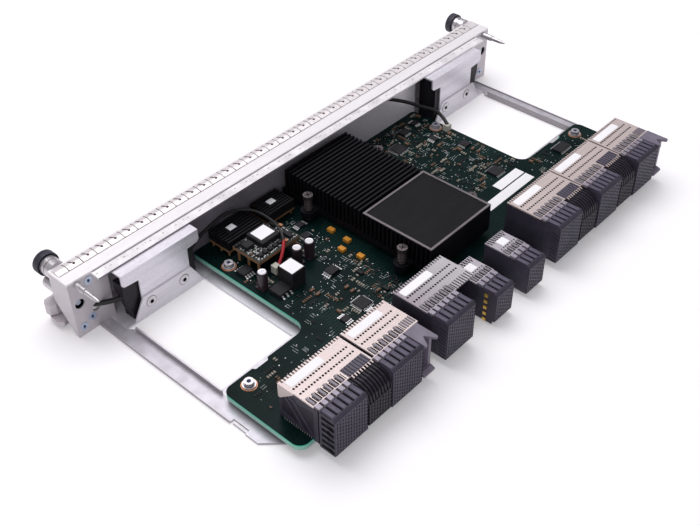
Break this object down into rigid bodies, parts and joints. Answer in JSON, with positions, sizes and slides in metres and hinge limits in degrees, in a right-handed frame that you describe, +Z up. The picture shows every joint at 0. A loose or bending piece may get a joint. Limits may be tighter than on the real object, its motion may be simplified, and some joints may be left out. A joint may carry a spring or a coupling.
{
  "type": "switch fabric module",
  "caption": "Plug-in electronics card on a metal tray: long front panel with ejector levers and thumbscrews, finned heatsink, power parts and a row of backplane connectors.",
  "frame": {"origin": "middle of the front panel's outer face, level with the underside of the tray", "axes": "+X along the front panel, +Y from the panel back to the connectors (the way the card slides in), +Z up from the tray to the component side"},
  "size_m": [0.3864, 0.1994, 0.0432],
  "materials": {
    "panel_metal": "pale satin metal",
    "gasket_metal": "bright spring strip",
    "steel": "bright fastener steel",
    "tray_metal": "pale satin sheet",
    "black_plastic": "black moulded plastic",
    "knob_plastic": "dark knurled plastic",
    "board_green": "dark green laminate",
    "sink_black": "black anodised",
    "brick_black": "black anodised",
    "chip_black": "moulded chip package",
    "laminate_brown": "brown laminate",
    "capacitor_can": "sleeved can",
    "tantalum": "orange moulded body",
    "header_white": "off-white moulding",
    "wire_black": "black sleeve",
    "connector_tan": "warm grey cover plate",
    "connector_grey": "blue-grey moulding",
    "connector_black": "black moulding",
    "gold": "gold flash",
    "label_white": "blank label",
    "standoff_brass": "plain brass",
    "chip_lid": "metal lid"
  },
  "bodies": {
    "card": {"blank_labels": "label_white", "block_screws": "steel", "board_chips": "chip_black", "board_screws": "steel", "board_standoffs": "standoff_brass", "brick_boards": "laminate_brown", "brick_sinks": "brick_black", "can_capacitors": "capacitor_can", "chip_package": "chip_lid", "circuit_board": "board_green", "connector_bodies": "connector_black", "connector_fronts_far": "connector_grey", "connector_fronts_near": "connector_grey", "connector_plates_far": "connector_tan", "connector_plates_near": "connector_tan", "converter_board": "laminate_brown", "converter_parts": "chip_black", "end_block_far": "panel_metal", "end_block_near": "panel_metal", "end_leads": "wire_black", "finned_blocks": "connector_black", "front_panel": "panel_metal", "gasket_strip": "gasket_metal", "guard_rivets": "steel", "guide_pieces": "connector_grey", "heatsink": "sink_black", "heatsink_cover": "sink_black", "lever_guard_far": "tray_metal", "lever_guard_near": "tray_metal", "lever_pins": "steel", "rear_wall": "panel_metal", "screw_springs": "steel", "side_contacts": "gold", "small_housings": "connector_grey", "small_plates": "connector_tan", "spring_screws": "steel", "switch_carrier_far": "black_plastic", "switch_carrier_near": "black_plastic", "tall_block": "chip_black", "tantalum_capacitors": "tantalum", "thumb_ferrules": "steel", "tray_pan": "tray_metal", "tray_rail_far": "tray_metal", "tray_rail_near": "tray_metal", "tray_sill": "tray_metal", "wire_far": "wire_black", "wire_headers": "header_white", "wire_near": "wire_black"},
    "lever_near": {"ejector_lever_near": "panel_metal"},
    "lever_far": {"ejector_lever_far": "panel_metal"},
    "button_near": {"release_button_near": "steel"},
    "button_far": {"release_button_far": "steel"},
    "thumb_near": {"thumbscrew_near": "steel", "thumb_cap_near": "knob_plastic"},
    "thumb_far": {"thumbscrew_far": "steel", "thumb_cap_far": "knob_plastic"}
  },
  "joints": [
    {"name": "lever_near_open", "type": "hinge", "parent": "card", "child": "lever_near", "pos_m": [0.181, -0.006, 0.01], "axis": [0, 0, 1], "range_deg": [0, 55]},
    {"name": "button_near_press", "type": "slide", "parent": "card", "child": "button_near", "axis": [0, 1, 0], "range_m": [0, 0.002], "stiffness_N_per_m": 400},
    {"name": "thumb_near_turn", "type": "hinge", "parent": "card", "child": "thumb_near", "pos_m": [0.1838, -0.005, 0.036], "axis": [0, 1, 0], "continuous": true},
    {"name": "lever_far_open", "type": "hinge", "parent": "card", "child": "lever_far", "pos_m": [-0.181, -0.006, 0.01], "axis": [0, 0, -1], "range_deg": [0, 55]},
    {"name": "button_far_press", "type": "slide", "parent": "card", "child": "button_far", "axis": [0, 1, 0], "range_m": [0, 0.002], "stiffness_N_per_m": 400},
    {"name": "thumb_far_turn", "type": "hinge", "parent": "card", "child": "thumb_far", "pos_m": [-0.1838, -0.005, 0.036], "axis": [0, 1, 0], "continuous": true}
  ]
}
